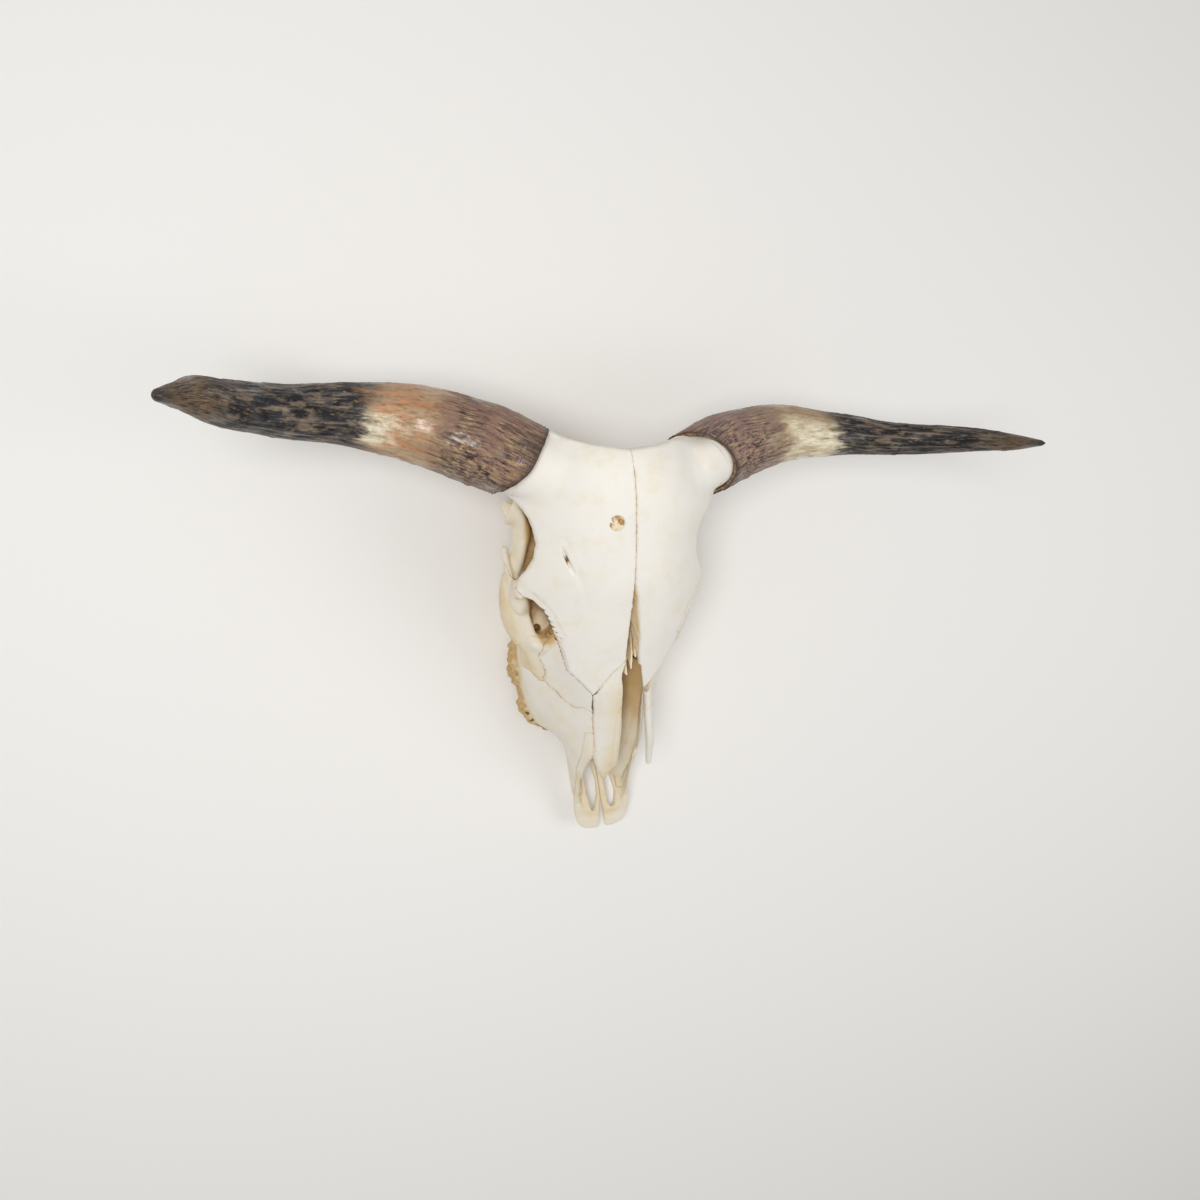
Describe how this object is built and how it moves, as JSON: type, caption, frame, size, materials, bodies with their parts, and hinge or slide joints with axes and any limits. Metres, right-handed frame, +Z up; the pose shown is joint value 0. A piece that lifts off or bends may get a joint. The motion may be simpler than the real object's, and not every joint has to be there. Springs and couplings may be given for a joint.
{
  "type": "cow skull with horns",
  "caption": "Cow skull without its lower jaw, both horn sheaths on, lying on its cheek teeth, with the left nasal bone slipped out of place.",
  "frame": {"origin": "middle of the bounding box's base, on the surface the skull lies on", "axes": "+X to the animal's left along the spread of the horns, +Y from the snout back to the poll, +Z up"},
  "size_m": [0.7804, 0.5466, 0.3071],
  "materials": {
    "bleached_bone": "sun-bleached matt bone with fine pits and faint cream blotches",
    "face_bone": "cream to grey-ivory bone, ochre towards edges and sutures",
    "aged_bone": "golden brown bone in the hollows, cream on the ridges",
    "horn": "keratin, mauve-brown and fibrous at the base, cream patch, then streaked blue-black"
  },
  "bodies": {
    "root": {"frontal_right": "bleached_bone", "frontal_left": "bleached_bone", "nasal_right": "face_bone", "nasal_left": "face_bone", "lacrimal_right": "face_bone", "lacrimal_left": "face_bone", "zygomatic_right": "face_bone", "zygomatic_left": "face_bone", "maxilla_right": "face_bone", "maxilla_left": "face_bone", "premaxilla_right": "face_bone", "premaxilla_left": "face_bone", "braincase": "aged_bone", "horn_sheath_right": "horn", "horn_sheath_left": "horn"}
  },
  "joints": []
}
